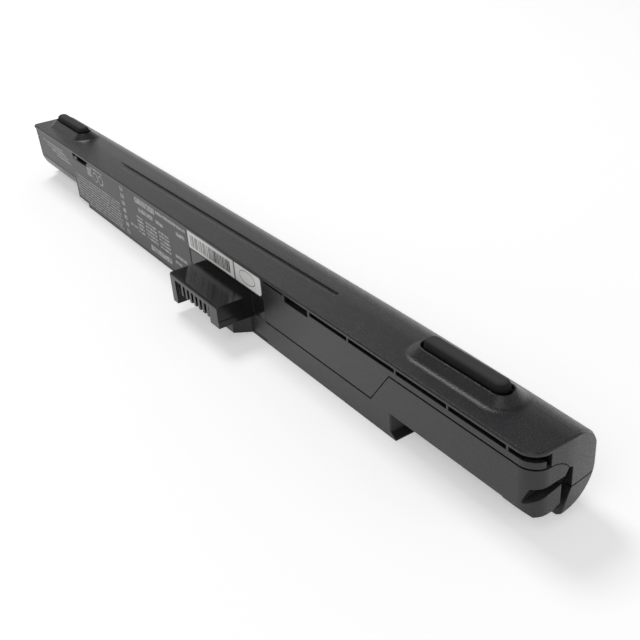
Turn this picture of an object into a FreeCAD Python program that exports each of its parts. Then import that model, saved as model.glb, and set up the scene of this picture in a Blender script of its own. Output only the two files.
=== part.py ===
import FreeCAD, Part
import math
import os

# A slim laptop battery: four cells end to end in a welded two-shell case, rubber feet up.
# Sizes are millimetres. While it is modelled, x runs from the far end of the lid to the near
# claw end, y runs rearwards from the lid's front edge, and z is 0 on the lid's flat top.
# At the end every piece moves so that the origin is the middle of the bounding box's base.

# Overall form of the case
claw_length = 8.4           # near end wall's outside to the claws' end
depth = 20.95               # lid front edge to rear face at mid length
deep_height = 22.0          # lid top to the flat bottom
rear_top_radius = 6.7       # rounding between lid and rear face
rear_low_radius = 9.0       # rounding between rear face and bottom
near_bow_length = 80.0      # stretch at the near end where the rear face bows in
near_bow_radius = 2300.0    # radius of that bow in plan
far_bow_length = 90.0       # the same at the far end, where it is much fainter
far_bow_radius = 10000.0
end_crown_radius = 80.0     # crown of the end faces in plan
crown_start = 10.0          # lid front edge to where that crown begins
rear_corner_radius = 1.2    # upright rear corners
near_corner_radius = 4.6    # upright front corner of lid and claw at the near end
far_corner_radius = 1.8     # same corner of the lid at the far end

# Lid and front wall
lid_edge = 0.95             # height of the lid's front edge
lid_overhang = 0.25         # lid edge beyond the front wall
soft_edge = 0.35            # bevel round the lid's flat top
far_overhang = 3.8          # lid beyond the far end wall at that wall's lower edge
far_overhang_top = 2.2      # same just under the lid
top_wall = 1.35
front_wall = 0.8
rear_wall = 1.25
bottom_wall = 1.4
end_wall = 1.4

# Deep middle, where the front wall reaches the bottom
deep_start = 41.8           # far step of the deep middle
deep_bevel = 9.4            # shallower shelf just inside that step
shelf_rise = 1.7            # how far the shelf lies above the flat bottom
near_shallow = 46.3         # deep middle's near end face to the near end
toe_reach = 1.9             # flared toe at the foot of that end face
toe_rise = 1.6
toe_edge = 0.3
deep_end_radius = 0.5       # upright front corner at that end face
far_wall_drop = 12.7        # lid top to the front wall's lower edge at the far end
near_wall_drop = 15.0       # same at the near end
end_drop = 20.9             # lid top to the underside at both ends
end_low_radius = 8.9        # its rounding into the rear face
claw_drop = 19.8            # lid top to the underside of the claws
claw_low_radius = 10.0
tip_bevel = 1.3             # stretch over which the near end tapers in at the rear and below
tip_taper = 0.9             # how much it tapers in

# Claws at the near end
claw_gap_y = 10.4           # rear end of the tongue, where the upright gap starts
claw_gap_top = 1.2          # width of the gap at its top
claw_gap_depth = 2.5
claw_gap_heel = 15.6        # lid top to where the gap widens over the front claw
claw_wall_drop = 15.2       # lid top to the front wall's lower edge at the claws
claw_block_drop = 16.6      # lid top to the front claw's underside
claw_block_start = 1.7      # the front claw's underside, from its sloping front edge
claw_block_end = 5.8        # to the gap
claw_tip_start = 8.8        # front edge of the rear claw's underside
claw_gap_front = 8.4        # front side of the gap below the slot
claw_slot_top = 9.3         # lid top to the claw slot's upper edge at the front
claw_slot_top_rear = 8.8    # same where the slot meets the gap
claw_slot_low = 13.5        # lid top to the slot's lower edge at the front
claw_slot_low_corner = 12.6     # same in the middle of the rounded corner
claw_slot_low_bend = 11.4   # same just past the corner
claw_slot_low_rear = 10.6   # same where the slot meets the gap
claw_slot_depth = 3.3
claw_slot_lean = 1.5        # how far the slot's far end leans back towards its top
tongue_drop = 2.6           # how far the tongue's top rounds down towards the gap

# Cells
cell_count = 4
cell_diameter = 18.2
cell_length = 65.0
cell_clearance = 0.1        # cell to front wall, bore and cradles
cell_gap = 1.2              # room for a folded link strip between two cells
cell_start = 10.9           # far end of the row
end_room = 5.7              # last cell to the near end wall, for plate, fuse and foam
can_shoulder = 0.7          # can edge below the top of the plus button
plus_button_diameter = 6.6
bore_wall = 1.0             # shell left around the bore at both ends

# Seam between the shells
seam_deep = 14.8            # lid top to seam along the deep middle
seam_high = 4.5             # same at both ends
seam_rear = 12.5            # same along the rear face
seam_ramp = 7.7             # length of the sloping stretch
seam_margin = 1.0           # slope's top end to the far step of the deep middle
seam_tilt = 0.5             # how far the seam drops across the near end, from the rear to the claws' gap
seam_gap = 0.45             # width of the shadow groove along the front
seam_gap_rear = 0.25        # same round the near end and along the rear
seam_groove = 0.5           # its depth
lap_height = 0.9            # inner lip of the lower shell
lap_skin = 0.5              # outer skin that the upper shell keeps over the lip
lap_clearance = 0.05
lap_margin = 3.0            # lap joint stops this far inside the end walls

# Row of slots under the lid
slot_drop = 2.4             # lid top to the slots' lower edge
slot_depth = 1.9
slot_wall = 0.8             # wall behind and below each slot
first_slot_drop = 1.8
far_slot_width = 3.2
slot_row = 102.6            # start of the row to the near end
slot_ribs = (92.0, 79.8, 62.7, 44.0, 25.8, 7.6)     # the ribs' places, from the near end
slot_rib_width = 0.6
slot_end_y = 5.1            # where the row ends round the near corner
strip_notch = 1.4           # gap between the strip under the slots and the end face
notch_drop = 4.0            # lid top to that gap's lower edge
latch_pocket_width = 11.2
latch_pocket_drop = 3.35
far_latch = 47.6

# Crease along the lid
crease_start = 72.3
crease_runout = 6.0         # stretch over which it reaches its full depth
crease_near_gap = 80.5      # near end of the crease to the near end of the lid
crease_depth = 0.4
crease_rear_start = 9.3     # its crisp rear edge
crease_rear_end = 10.7
crease_width_start = 3.0
crease_width_end = 1.9

# Feet and the flared bosses that hold them
foot_far_x = 22.0
foot_near_gap = 30.8        # middle of the near foot to the near end
foot_y = 10.1
boss_length = 29.2          # over the rim
boss_width = 5.9
boss_height = 2.25
boss_slope = 2.5            # how much wider the boss is at its foot
boss_flare_radius = 2.2
rim_width = 0.35
foot_recess = 1.3
foot_length = 26.4
foot_width = 4.5
foot_rise = 2.1             # pad above the rim
foot_round = 1.6
foot_steps = 2              # flat steps that make up its rounded top edge

# Connector block on the front
keeper_depth = 0.4          # flange's upper lip behind the front wall
keeper_rise = 1.0
keeper_lap = 0.3
keeper_gap = 0.05
connector_start = 150.2
connector_width = 29.6
connector_reach = 11.3
connector_top = 8.8         # lid top to the block's top face
connector_beam = 2.2        # thickness of the top plate
connector_rib_drop = 14.7   # lid top to the ribs' lower edge
connector_wall_drop = 15.6  # same for the near wall
connector_leg_drop = 18.5   # same for the far keying leg
connector_leg = 3.0
connector_leg_back = 5.0
connector_rear = 4.3        # solid part behind the slots
connector_edge = 0.7
connector_lip = 0.2
connector_brow = 1.5        # height of the frame left standing above the ribs
rib_set_back = 0.5          # ribs behind that frame
connector_lip_height = 2.1
flange_start = 141.6
flange_end = 186.4
flange_top = 7.6
flange_set_back = 0.15
flange_clearance = 0.1
contact_count = 8
contact_pitch = 2.7
contact_slot = 1.4
first_contact = 5.0         # block edge to the middle of the first slot
contact_metal = 0.25
contact_spread = 0.5
contact_set_back = 1.6
contact_set_up = 0.7        # contacts' lower edge above the ribs' lower edge
contact_clearance = 0.1
leaf_lead = 0.8             # bevelled mouth of the twin leaves
web_depth = 0.7
tail_y = -3.5               # front of the tails as they drop to the board
tail_end_y = 2.0
tail_clearance = 0.3
tail_thickness = 0.5
plinth_reach = 4.4
plinth_wall = 0.9
plinth_start = 150.6
plinth_end = 174.6
plinth_flare = 3.2
tail_drop = 18.0            # lid top to the tails as they pass the wall

# Protection board and what it carries
board_overhang = 6.0        # board beyond the joints at both ends of the two middle cells
board_width = 6.2
board_thickness = 0.8
board_rest = 0.3            # ledges that keep the joints off the floor
board_gap = 0.2             # board to front wall
ledge_width = 1.5
part_height = 1.0
parts_y = 1.6               # front edge of what stands on the board
chip_width = 3.3
chip_draft = 0.15
gauge_place = 26.0          # places are measured from the board's far end
gauge_length = 7.8
monitor_place = 42.0
monitor_length = 5.0
transistor_places = (52.0, 57.0)
transistor_length = 3.2
pack_fuse_place = 64.0
pack_fuse_length = 4.0
resistor_place = 18.0
resistor_length = 3.2
resistor_height = 0.6
capacitor_length = 1.6
capacitor_width = 0.8
capacitor_places = (38.0, 39.8, 49.0, 115.0, 117.0, 119.0)
thermistor_place = 126.0
thermistor_height = 2.3
thermistor_width = 1.4
leg_y = 5.6                 # front edge of the strips' legs on the board
cradle_places = (0.18, 0.5, 0.82)
cradle_thickness = 1.2
cradle_front = 8.8

# Nickel strips
strip = 0.15
strip_weld_width = 7.0
strip_leg_width = 1.8
ribbon_gap = 0.05
ribbon_lap = 3.0            # how far the ribbons reach over the board's ends
ribbon_angle_start = 207.0
ribbon_angle_end = 231.0
ring_thickness = 0.25
ring_inner = 9.0
ring_outer = 17.2
ring_sides = 24
foam_size = 11.0            # square pads of foam between the cells and the end walls
foam_gap = 0.2
nook_diameter = 16.0        # round room for the pads behind each end wall
thermal_fuse_width = 3.6
thermal_fuse_height = 5.0
thermal_fuse_thickness = 1.0

# Labels
label_thickness = 0.12
label_recess = 0.15
label_margin = 0.2          # label edge to recess edge and to the next label
label_side_margin = 0.3
recess_end = 186.6
label_start = 4.4
label_end = 141.3
label_top = 1.25
label_bottom_margin = 0.9
barcode_end = 170.4
plain_label_end = 185.7
white_label_top = 1.05
white_label_drop = 7.1
label_corner = 0.8          # cut corners of the second white label

OUT = 60.0                  # reach of cutting blocks beyond the case
front_face = lid_overhang
inner_front = front_face + front_wall
cell_radius = cell_diameter / 2
bore_radius = cell_radius + cell_clearance
cell_y = inner_front + cell_clearance + cell_radius
cell_z = -(top_wall + cell_clearance + cell_radius)
floor_z = -(deep_height - bottom_wall)
room_start = far_overhang + end_wall
cell_end = cell_start + cell_count * cell_length + (cell_count - 1) * cell_gap
room_end = cell_end + end_room
claw_start = room_end + end_wall
length = claw_start + claw_length
deep_end = length - near_shallow
foot_near_x = length - foot_near_gap
crease_end = length - crease_near_gap
end_round = bore_radius + bore_wall
ribbon_inner = cell_radius + ribbon_gap
ribbon_outer = ribbon_inner + strip
board_start = cell_start + cell_length - board_overhang
board_end = cell_end - cell_length + board_overhang
board_y = inner_front + board_gap
board_low = floor_z + board_rest
board_top = board_low + board_thickness
label_back = front_face + label_recess
label_front = label_back - label_thickness


def vec(x, y, z):
    return FreeCAD.Vector(x, y, z)


def box(x0, x1, y0, y1, z0, z1):
    return Part.makeBox(x1 - x0, y1 - y0, z1 - z0, vec(x0, y0, z0))


def prism_x(points, x0, x1):
    """Extrude an outline of (y, z) points along x."""
    wire = Part.makePolygon([vec(x0, y, z) for y, z in points + points[:1]])
    return Part.Face(wire).extrude(vec(x1 - x0, 0, 0))


def prism_y(points, y0, y1):
    """Extrude an outline of (x, z) points along y."""
    wire = Part.makePolygon([vec(x, y0, z) for x, z in points + points[:1]])
    return Part.Face(wire).extrude(vec(0, y1 - y0, 0))


def prism_z(points, z0, z1):
    """Extrude an outline of (x, y) points upwards."""
    wire = Part.makePolygon([vec(x, y, z0) for x, y in points + points[:1]])
    return Part.Face(wire).extrude(vec(0, 0, z1 - z0))


def rod_x(y, z, radius, x0, x1):
    return Part.makeCylinder(radius, x1 - x0, vec(x0, y, z), vec(1, 0, 0))


def stadium(cx, cy, z0, z1, long_side, width):
    """An upright slab with half-round ends, its long side along x."""
    r = width / 2
    half = long_side / 2 - r
    slab = box(cx - half, cx + half, cy - r, cy + r, z0, z1)
    for sign in (-1, 1):
        slab = slab.fuse(Part.makeCylinder(r, z1 - z0, vec(cx + sign * half, cy, z0)))
    return slab.removeSplitter()


def section(y_rear, z_top, z_low, r_top, r_low):
    """The case's cross section as a face at x = 0, drawn well in front of the front wall."""
    diagonal = math.sqrt(0.5)
    y_front = -OUT / 4
    corners = [vec(0, y_front, z_top), vec(0, y_rear - r_top, z_top), vec(0, y_rear, z_top - r_top),
               vec(0, y_rear, z_low + r_low), vec(0, y_rear - r_low, z_low), vec(0, y_front, z_low)]
    top_middle = vec(0, y_rear - r_top + r_top * diagonal, z_top - r_top + r_top * diagonal)
    low_middle = vec(0, y_rear - r_low + r_low * diagonal, z_low + r_low - r_low * diagonal)
    edges = [Part.LineSegment(corners[0], corners[1]).toShape(),
             Part.Arc(corners[1], top_middle, corners[2]).toShape(),
             Part.LineSegment(corners[2], corners[3]).toShape(),
             Part.Arc(corners[3], low_middle, corners[4]).toShape(),
             Part.LineSegment(corners[4], corners[5]).toShape(),
             Part.LineSegment(corners[5], corners[0]).toShape()]
    return Part.Face(Part.Wire(edges))


def bowed_bar(face, x0, x1):
    """A cross section drawn along the case from x0 to x1, bowed in near both ends."""
    start = far_bow_length
    stop = length - near_bow_length
    bar = face.translated(vec(start, 0, 0)).extrude(vec(stop - start, 0, 0))
    if x1 > stop:
        turned = face.translated(vec(stop, 0, 0))
        angle = math.degrees(1.15 * near_bow_length / near_bow_radius)
        centre = vec(stop, depth - near_bow_radius, 0)
        bar = bar.fuse(turned.revolve(centre, vec(0, 0, 1), -angle))
    if x0 < start:
        turned = face.translated(vec(start, 0, 0))
        angle = math.degrees(1.15 * far_bow_length / far_bow_radius)
        centre = vec(start, depth - far_bow_radius, 0)
        bar = bar.fuse(turned.revolve(centre, vec(0, 0, 1), angle))
    bar = bar.removeSplitter()
    return bar.common(box(x0, x1, -OUT, OUT, -OUT, OUT))


def corner_arc(x_crown, y_rear, sign):
    """Points of the upright rear corner: on the crowned end face, on the corner, on the rear face."""
    crown_x = x_crown - sign * end_crown_radius
    corner_y = y_rear - rear_corner_radius
    reach = end_crown_radius - rear_corner_radius
    corner_x = crown_x + sign * math.sqrt(reach ** 2 - (corner_y - crown_start) ** 2)
    lean = math.atan2(corner_y - crown_start, abs(corner_x - crown_x))
    first = vec(crown_x + sign * end_crown_radius * math.cos(lean),
                crown_start + end_crown_radius * math.sin(lean), 0)
    half = (lean + math.pi / 2) / 2
    middle = vec(corner_x + sign * rear_corner_radius * math.cos(half),
                 corner_y + rear_corner_radius * math.sin(half), 0)
    last = vec(corner_x, y_rear, 0)
    crown_middle = vec(crown_x + sign * end_crown_radius * math.cos(lean / 2),
                       crown_start + end_crown_radius * math.sin(lean / 2), 0)
    return crown_middle, first, middle, last


def plan_wire(x_far, x_near, y_front, r_far, r_near):
    """The case's outline seen from above; behind the rear corners it goes straight on."""
    diagonal = 1 - math.sqrt(0.5)
    near_rear = depth - (near_bow_length - rear_corner_radius) ** 2 / (2 * near_bow_radius)
    far_rear = depth - (far_bow_length - rear_corner_radius) ** 2 / (2 * far_bow_radius)
    near_crown, near_first, near_middle, near_last = corner_arc(x_near, near_rear, 1)
    far_crown, far_first, far_middle, far_last = corner_arc(x_far, far_rear, -1)
    points = [vec(x_far + r_far, y_front, 0), vec(x_near - r_near, y_front, 0),
              vec(x_near, y_front + r_near, 0), vec(x_near, crown_start, 0),
              vec(near_last.x, OUT, 0), vec(far_last.x, OUT, 0),
              vec(x_far, crown_start, 0), vec(x_far, y_front + r_far, 0)]
    near_bend = vec(x_near - r_near * diagonal, y_front + r_near * diagonal, 0)
    far_bend = vec(x_far + r_far * diagonal, y_front + r_far * diagonal, 0)
    edges = [Part.LineSegment(points[0], points[1]).toShape(),
             Part.Arc(points[1], near_bend, points[2]).toShape(),
             Part.LineSegment(points[2], points[3]).toShape(),
             Part.Arc(points[3], near_crown, near_first).toShape(),
             Part.Arc(near_first, near_middle, near_last).toShape(),
             Part.LineSegment(near_last, points[4]).toShape(),
             Part.LineSegment(points[4], points[5]).toShape(),
             Part.LineSegment(points[5], far_last).toShape(),
             Part.Arc(far_last, far_middle, far_first).toShape(),
             Part.Arc(far_first, far_crown, points[6]).toShape(),
             Part.LineSegment(points[6], points[7]).toShape(),
             Part.Arc(points[7], far_bend, points[0]).toShape()]
    return Part.Wire(edges)


def plan_prism(x_far, x_near, y_front, r_far, r_near, z0, z1):
    """Everything inside the case's outline between two heights."""
    face = Part.Face(plan_wire(x_far, x_near, y_front, r_far, r_near))
    return face.translated(vec(0, 0, z0)).extrude(vec(0, 0, z1 - z0))


def near_tip():
    """Room that the near end may fill: its rear and underside taper in over the last stretch."""
    start = length - tip_bevel
    y_rear = depth - (near_bow_length - tip_bevel) ** 2 / (2 * near_bow_radius) + 0.02
    full = section(y_rear, 0, -claw_drop - 0.02, rear_top_radius, claw_low_radius)
    small = section(y_rear - tip_taper, 0, -claw_drop + tip_taper, rear_top_radius, claw_low_radius)
    wires = [full.OuterWire.translated(vec(start, 0, 0)), small.OuterWire.translated(vec(length, 0, 0))]
    return Part.makeLoft(wires, True, True).fuse(box(claw_start - 1, start, -OUT, OUT, -OUT, OUT))


def outer_form():
    """The closed outside of the case, without bosses, slots or claws."""
    shell_radii = (rear_top_radius, rear_low_radius)
    deep = bowed_bar(section(depth, 0, -deep_height, *shell_radii), deep_start, deep_end)
    shallow_face = section(depth, 0, -end_drop, rear_top_radius, end_low_radius)
    shallow = bowed_bar(shallow_face, 0, claw_start)
    claw_face = section(depth, 0, -claw_drop, rear_top_radius, claw_low_radius)
    claws = bowed_bar(claw_face, claw_start, length).common(near_tip())

    # Round the middle's near front corner, then lift the shelf just inside its far step
    corner = box(deep_end - deep_end_radius, deep_end + 1, -OUT, front_face + deep_end_radius, -OUT, OUT)
    corner = corner.cut(Part.makeCylinder(
        deep_end_radius, 2 * OUT, vec(deep_end - deep_end_radius, front_face + deep_end_radius, -OUT)))
    shelf_end = deep_start + deep_bevel
    shelf = box(deep_start - 1, shelf_end, -OUT, OUT, -OUT, -deep_height + shelf_rise)
    deep = deep.cut(corner).cut(shelf)
    toe = prism_y([(deep_end - 1, -deep_height), (deep_end + toe_reach, -deep_height),
                   (deep_end + toe_reach, -deep_height + toe_edge), (deep_end, -deep_height + toe_rise),
                   (deep_end - 1, -deep_height + toe_rise)], -OUT, depth - rear_low_radius - toe_edge)

    # Both ends hug the round cells below the front wall
    hug = rod_x(cell_y, cell_z, end_round, -1, length + 1)
    far_cut = box(-1, deep_start, -OUT, cell_y, -OUT, -far_wall_drop).cut(hug)
    near_cut = box(deep_start, claw_start, -OUT, cell_y, -OUT, -near_wall_drop).cut(hug)
    shallow = shallow.cut(far_cut).cut(near_cut)

    form = deep.fuse([toe, shallow, claws])
    lid = plan_prism(0, length, 0, far_corner_radius, near_corner_radius, -lid_edge, -soft_edge)
    full = plan_wire(0, length, 0, far_corner_radius, near_corner_radius)
    small = plan_wire(soft_edge, length - soft_edge, soft_edge,
                      far_corner_radius - soft_edge, near_corner_radius - soft_edge)
    lid_bevel = Part.makeLoft([full.translated(vec(0, 0, -soft_edge)), small], True, True)
    wall = plan_prism(0, length, front_face, far_corner_radius,
                      near_corner_radius - lid_overhang, -OUT, -lid_edge)
    far_end = [(-1, -lid_edge), (far_overhang_top, -lid_edge), (far_overhang, -far_wall_drop),
               (far_overhang, -OUT), (-1, -OUT)]
    wall = wall.cut(prism_y(far_end, -OUT, slot_end_y))
    return form.common(lid.fuse([lid_bevel, wall])).removeSplitter()


def boss(x):
    """A flared oblong boss that rises from the lid; its foot reaches below the lid's top."""
    sink = 1.5
    slope = boss_slope / boss_height
    r_top = boss_width / 2
    r_low = r_top + slope * (boss_height + sink)
    half = boss_length / 2 - r_top
    side = [(foot_y - r_low, -sink), (foot_y - r_top, boss_height),
            (foot_y + r_top, boss_height), (foot_y + r_low, -sink)]
    body = prism_x(side, x - half, x + half)
    for sign in (-1, 1):
        base = vec(x + sign * half, foot_y, -sink)
        body = body.fuse(Part.makeCone(r_low, r_top, boss_height + sink, base))
    return body.removeSplitter()


def add_bosses(form):
    """Fuse both bosses to the lid and flare their feet into it."""
    bosses = [boss(foot_far_x), boss(foot_near_x)]
    whole = form.fuse(bosses).removeSplitter()
    foot_edges = []
    for edge in whole.Edges:
        middle = edge.valueAt((edge.FirstParameter + edge.LastParameter) / 2)
        spot = Part.Vertex(middle)
        on_boss = min(spot.distToShape(b.Shells[0])[0] for b in bosses) < 0.001
        on_lid = spot.distToShape(form.Shells[0])[0] < 0.001
        if on_boss and on_lid and edge.BoundBox.XLength + edge.BoundBox.YLength > 0.5:
            foot_edges.append(edge)
    return whole.makeFillet(boss_flare_radius, foot_edges)


def below_seam(lift, rear_lift):
    """Everything below the seam, which steps up at both ends and runs lower along the rear."""
    high = -seam_high + lift
    low = -seam_deep + lift
    near_top = deep_end
    far_top = deep_start + seam_margin
    front = prism_y([(-OUT, high), (far_top, high), (far_top + seam_ramp, low),
                     (near_top - seam_ramp, low), (near_top, high), (length + OUT, high),
                     (length + OUT, -OUT), (-OUT, -OUT)], -OUT, slot_end_y)
    curve = tongue_curve(rear_lift)
    rear = prism_x(curve + [(OUT, -seam_rear + rear_lift), (OUT, -OUT), (slot_end_y, -OUT)],
                   -OUT, length + OUT)
    return front.fuse(rear)


def tongue_curve(lift):
    """Points (y, z) of the tongue's rounded top, from its flat to the rear seam."""
    width = claw_gap_y - slot_end_y
    radius = (width ** 2 + tongue_drop ** 2) / (2 * tongue_drop)
    sweep = math.asin(width / radius)
    points = []
    for i in range(7):
        turn = sweep * i / 6
        points.append((slot_end_y + radius * math.sin(turn),
                       -seam_high + lift - radius * (1 - math.cos(turn))))
    points.append((claw_gap_y + claw_gap_top / 2, -seam_rear - seam_tilt + lift))
    points.append((depth - rear_wall, -seam_rear + lift))
    return points


def cavity():
    """The room inside the case: straight walls above, round bores at both ends."""
    r_top = rear_top_radius - rear_wall
    inner = section(depth - rear_wall, -top_wall, floor_z, r_top, rear_low_radius - rear_wall)
    upper = bowed_bar(inner, room_start, room_end)
    upper = upper.common(box(room_start, room_end, inner_front, OUT, cell_z - 1, OUT))
    middle = bowed_bar(inner, deep_start + end_wall, deep_end - end_wall)
    middle = middle.common(box(-1, length, inner_front, OUT, -OUT, cell_z))
    shelf = box(0, deep_start + deep_bevel + end_wall, -OUT, cell_y, -OUT, floor_z + shelf_rise)
    bore = rod_x(cell_y, cell_z, bore_radius, cell_start - 1, cell_end + 0.5)
    nook = rod_x(cell_y, cell_z, nook_diameter / 2, room_start, room_end)
    return upper.fuse([middle.cut(shelf), bore, nook])


def slot_zone():
    """A band just inside the front wall and round the near corner, as deep as the slots."""
    inner_y = front_face + slot_depth
    radius = near_corner_radius - inner_y
    inner_x = length - inner_y + lid_overhang
    band = box(0, length + OUT, -OUT, slot_end_y, -OUT, OUT)
    bend_x = inner_x - radius * (1 - math.sqrt(0.5))
    bend_y = inner_y + radius * (1 - math.sqrt(0.5))
    edges = [Part.LineSegment(vec(-1, inner_y, -OUT), vec(inner_x - radius, inner_y, -OUT)).toShape(),
             Part.Arc(vec(inner_x - radius, inner_y, -OUT), vec(bend_x, bend_y, -OUT),
                      vec(inner_x, inner_y + radius, -OUT)).toShape(),
             Part.LineSegment(vec(inner_x, inner_y + radius, -OUT), vec(inner_x, OUT, -OUT)).toShape(),
             Part.LineSegment(vec(inner_x, OUT, -OUT), vec(-1, OUT, -OUT)).toShape(),
             Part.LineSegment(vec(-1, OUT, -OUT), vec(-1, inner_y, -OUT)).toShape()]
    core = Part.Face(Part.Wire(edges)).extrude(vec(0, 0, 2 * OUT))
    return band.cut(core)


def slot_spans():
    """Start, end and lower edge of every opening in the row under the lid."""
    half = slot_rib_width / 2
    ribs = [length - place for place in slot_ribs]
    starts = [length - slot_row] + [rib + half for rib in ribs]
    ends = [rib - half for rib in ribs] + [length + OUT]
    spans = [(starts[0], ends[0], first_slot_drop)]
    spans.append((starts[1], starts[1] + latch_pocket_width, latch_pocket_drop))
    for start, end in zip(starts[2:], ends[2:]):
        spans.append((start, end, slot_drop))
    spans.append((far_latch, far_latch + latch_pocket_width, latch_pocket_drop))
    spans.append((far_latch - slot_rib_width - far_slot_width, far_latch - slot_rib_width, slot_drop))
    return spans


def slots_and_backs():
    """The slots as cutting solids, and the walls that close them towards the cells."""
    zone = slot_zone()
    cuts = []
    backs = []
    back_y = front_face + slot_depth + slot_wall
    for start, end, drop in slot_spans():
        cuts.append(zone.common(box(start, end, -1, slot_end_y, -drop, -lid_edge)))
        inside = min(end, room_end)
        if start < inside:
            backs.append(box(start - slot_wall, inside + slot_wall, inner_front - 0.1, back_y,
                             -drop - slot_wall, -top_wall + 0.1))
    return cuts, backs


def claw_cuts():
    """What is cut from the near end: underside, upright gap and the slot in the claw."""
    under = prism_x([(-OUT, -claw_wall_drop), (front_face, -claw_wall_drop),
                     (claw_block_start, -claw_block_drop), (claw_block_end, -claw_block_drop),
                     (claw_tip_start, -claw_drop), (cell_y, -claw_drop), (cell_y, -OUT), (-OUT, -OUT)],
                    claw_start, length + 1)
    top = claw_gap_y + claw_gap_top
    gap = prism_x([(claw_gap_y, -seam_high - tongue_drop), (top, -seam_high - tongue_drop - lap_skin),
                   (top, -seam_rear - lap_skin), (claw_tip_start, -claw_drop + lap_skin),
                   (claw_tip_start, -OUT), (claw_block_end, -OUT), (claw_block_end, -claw_block_drop),
                   (claw_gap_front, -claw_gap_heel), (claw_gap_front, -claw_slot_low_rear)],
                  length - claw_gap_depth, length + 1)
    turn = near_corner_radius - lid_overhang
    mid_turn = front_face + turn * (1 - math.sqrt(0.5))
    across = prism_x([(-OUT, -claw_slot_top), (front_face, -claw_slot_top), (top, -claw_slot_top_rear),
                      (top, -claw_slot_low_rear), (claw_gap_front, -claw_slot_low_rear),
                      (front_face + turn, -claw_slot_low_bend), (mid_turn, -claw_slot_low_corner),
                      (front_face, -claw_slot_low), (-OUT, -claw_slot_low)], length - OUT, length + 1)
    floor = length - claw_slot_depth
    corner = claw_slot_lean / 3
    along = prism_y([(floor + claw_slot_lean, -claw_slot_top), (floor, -claw_slot_low + corner),
                     (floor + corner, -claw_slot_low), (length + 2, -claw_slot_low - 1),
                     (length + 2, -claw_slot_top_rear + 1), (floor + claw_slot_lean, -claw_slot_top_rear + 1)],
                    -OUT, OUT)
    notch = box(length - near_corner_radius, length + 1, slot_end_y - strip_notch, slot_end_y,
                -notch_drop, -lid_edge)
    return [under, gap, across.common(along), notch]


def crease():
    """A long shallow wedge with a crisp rear edge, running out towards the front and the far end."""
    full_start = crease_start + crease_runout
    stations = ((crease_start, crease_rear_start, crease_width_start / 4, crease_depth / 4),
                (full_start, crease_rear_start, crease_width_start, crease_depth),
                (crease_end, crease_rear_end, crease_width_end, crease_depth))
    ends = []
    for x, y_rear, width, sink in stations:
        corners = [(y_rear, 1), (y_rear, -sink), (y_rear - width, 0), (y_rear - width, 1)]
        ends.append(Part.makePolygon([vec(x, y, z) for y, z in corners + corners[:1]]))
    return Part.makeLoft(ends, True, True)


def boss_recess(x):
    return stadium(x, foot_y, boss_height - foot_recess, boss_height + 1,
                   boss_length - 2 * rim_width, boss_width - 2 * rim_width)


def foot(x):
    """A rubber pad glued into its boss, standing proud of the rim with a stepped, rounded top."""
    half_width = foot_width / 2
    half = foot_length / 2 - half_width
    top = boss_height + foot_rise
    side = [(half_width, boss_height - foot_recess)]
    for i in range(foot_steps + 1):
        turn = math.radians(90 * i / foot_steps)
        side.append((half_width - foot_round * (1 - math.cos(turn)),
                     top - foot_round * (1 - math.sin(turn))))
    outline = [(foot_y + y, z) for y, z in side] + [(foot_y - y, z) for y, z in reversed(side)]
    pad = prism_x(outline, x - half, x + half)
    for sign in (-1, 1):
        points = [(0, side[0][1])] + side + [(0, top)]
        wire = Part.makePolygon([vec(x + sign * half + y, foot_y, z) for y, z in points + points[:1]])
        axis = vec(x + sign * half, foot_y, 0)
        pad = pad.fuse(Part.Face(wire).revolve(axis, vec(0, 0, 1), 360))
    return pad.removeSplitter()


def label_outline(margin):
    """Outline (x, z) of the long label; the margin widens it to the recess it lies in."""
    low = -deep_height + label_bottom_margin - margin
    shelf_x = deep_start + deep_bevel + label_side_margin - margin
    step_x = deep_start + label_side_margin - margin
    far_low = -far_wall_drop + label_bottom_margin - margin
    return [(label_start - margin, far_low), (step_x, far_low), (step_x, low + shelf_rise),
            (shelf_x, low + shelf_rise), (shelf_x, low)]


def label_recess_cut():
    outline = label_outline(label_margin)
    low = outline[-1][1]
    outline += [(recess_end, low), (recess_end, -lid_edge), (label_start - label_margin, -lid_edge)]
    return prism_y(outline, -1, front_face + label_recess)


def front_label():
    outline = label_outline(0)
    low = outline[-1][1]
    outline += [(label_end, low), (label_end, -label_top), (label_start, -label_top)]
    sheet = prism_y(outline, label_front, label_back)
    start = far_latch - slot_rib_width - far_slot_width - label_margin
    pocket = box(start, far_latch + latch_pocket_width + label_margin, -1, 1,
                 -latch_pocket_drop - label_margin, 0)
    return sheet.cut(pocket)


def white_label(start, end, corner):
    sheet = box(start, end, label_front, label_back, -white_label_drop, -white_label_top)
    if corner:
        edges = [e for e in sheet.Edges if e.BoundBox.XLength < 0.001 and e.BoundBox.ZLength < 0.001]
        sheet = sheet.makeChamfer(label_corner, edges)
    return sheet


def inside_wall(inset):
    """The case's form shrunk in plan, to tell the outer skin from what lies behind it."""
    radii = (rear_top_radius - inset, rear_low_radius - inset)
    bar = bowed_bar(section(depth - inset, -inset, -deep_height - rear_low_radius, *radii), 0, length)
    plan = plan_prism(inset, length - inset, front_face + inset, far_corner_radius,
                      near_corner_radius - lid_overhang - inset, -OUT, 0)
    corner = box(-1, far_overhang + inset, -OUT, slot_end_y + inset, -OUT, 0)
    return bar.common(plan).cut(corner)


def contact_centres():
    return [connector_start + first_contact + i * contact_pitch for i in range(contact_count)]


def plinth():
    """The flared step below the connector, with a duct for the contact tails."""
    inner = inner_front - 0.1
    outline = [(plinth_start - plinth_flare, inner), (plinth_start - plinth_flare, front_face),
               (plinth_start, -plinth_reach), (plinth_end, -plinth_reach),
               (plinth_end + plinth_flare, front_face), (plinth_end + plinth_flare, inner)]
    return prism_z(outline, -deep_height, -connector_wall_drop)


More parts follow.
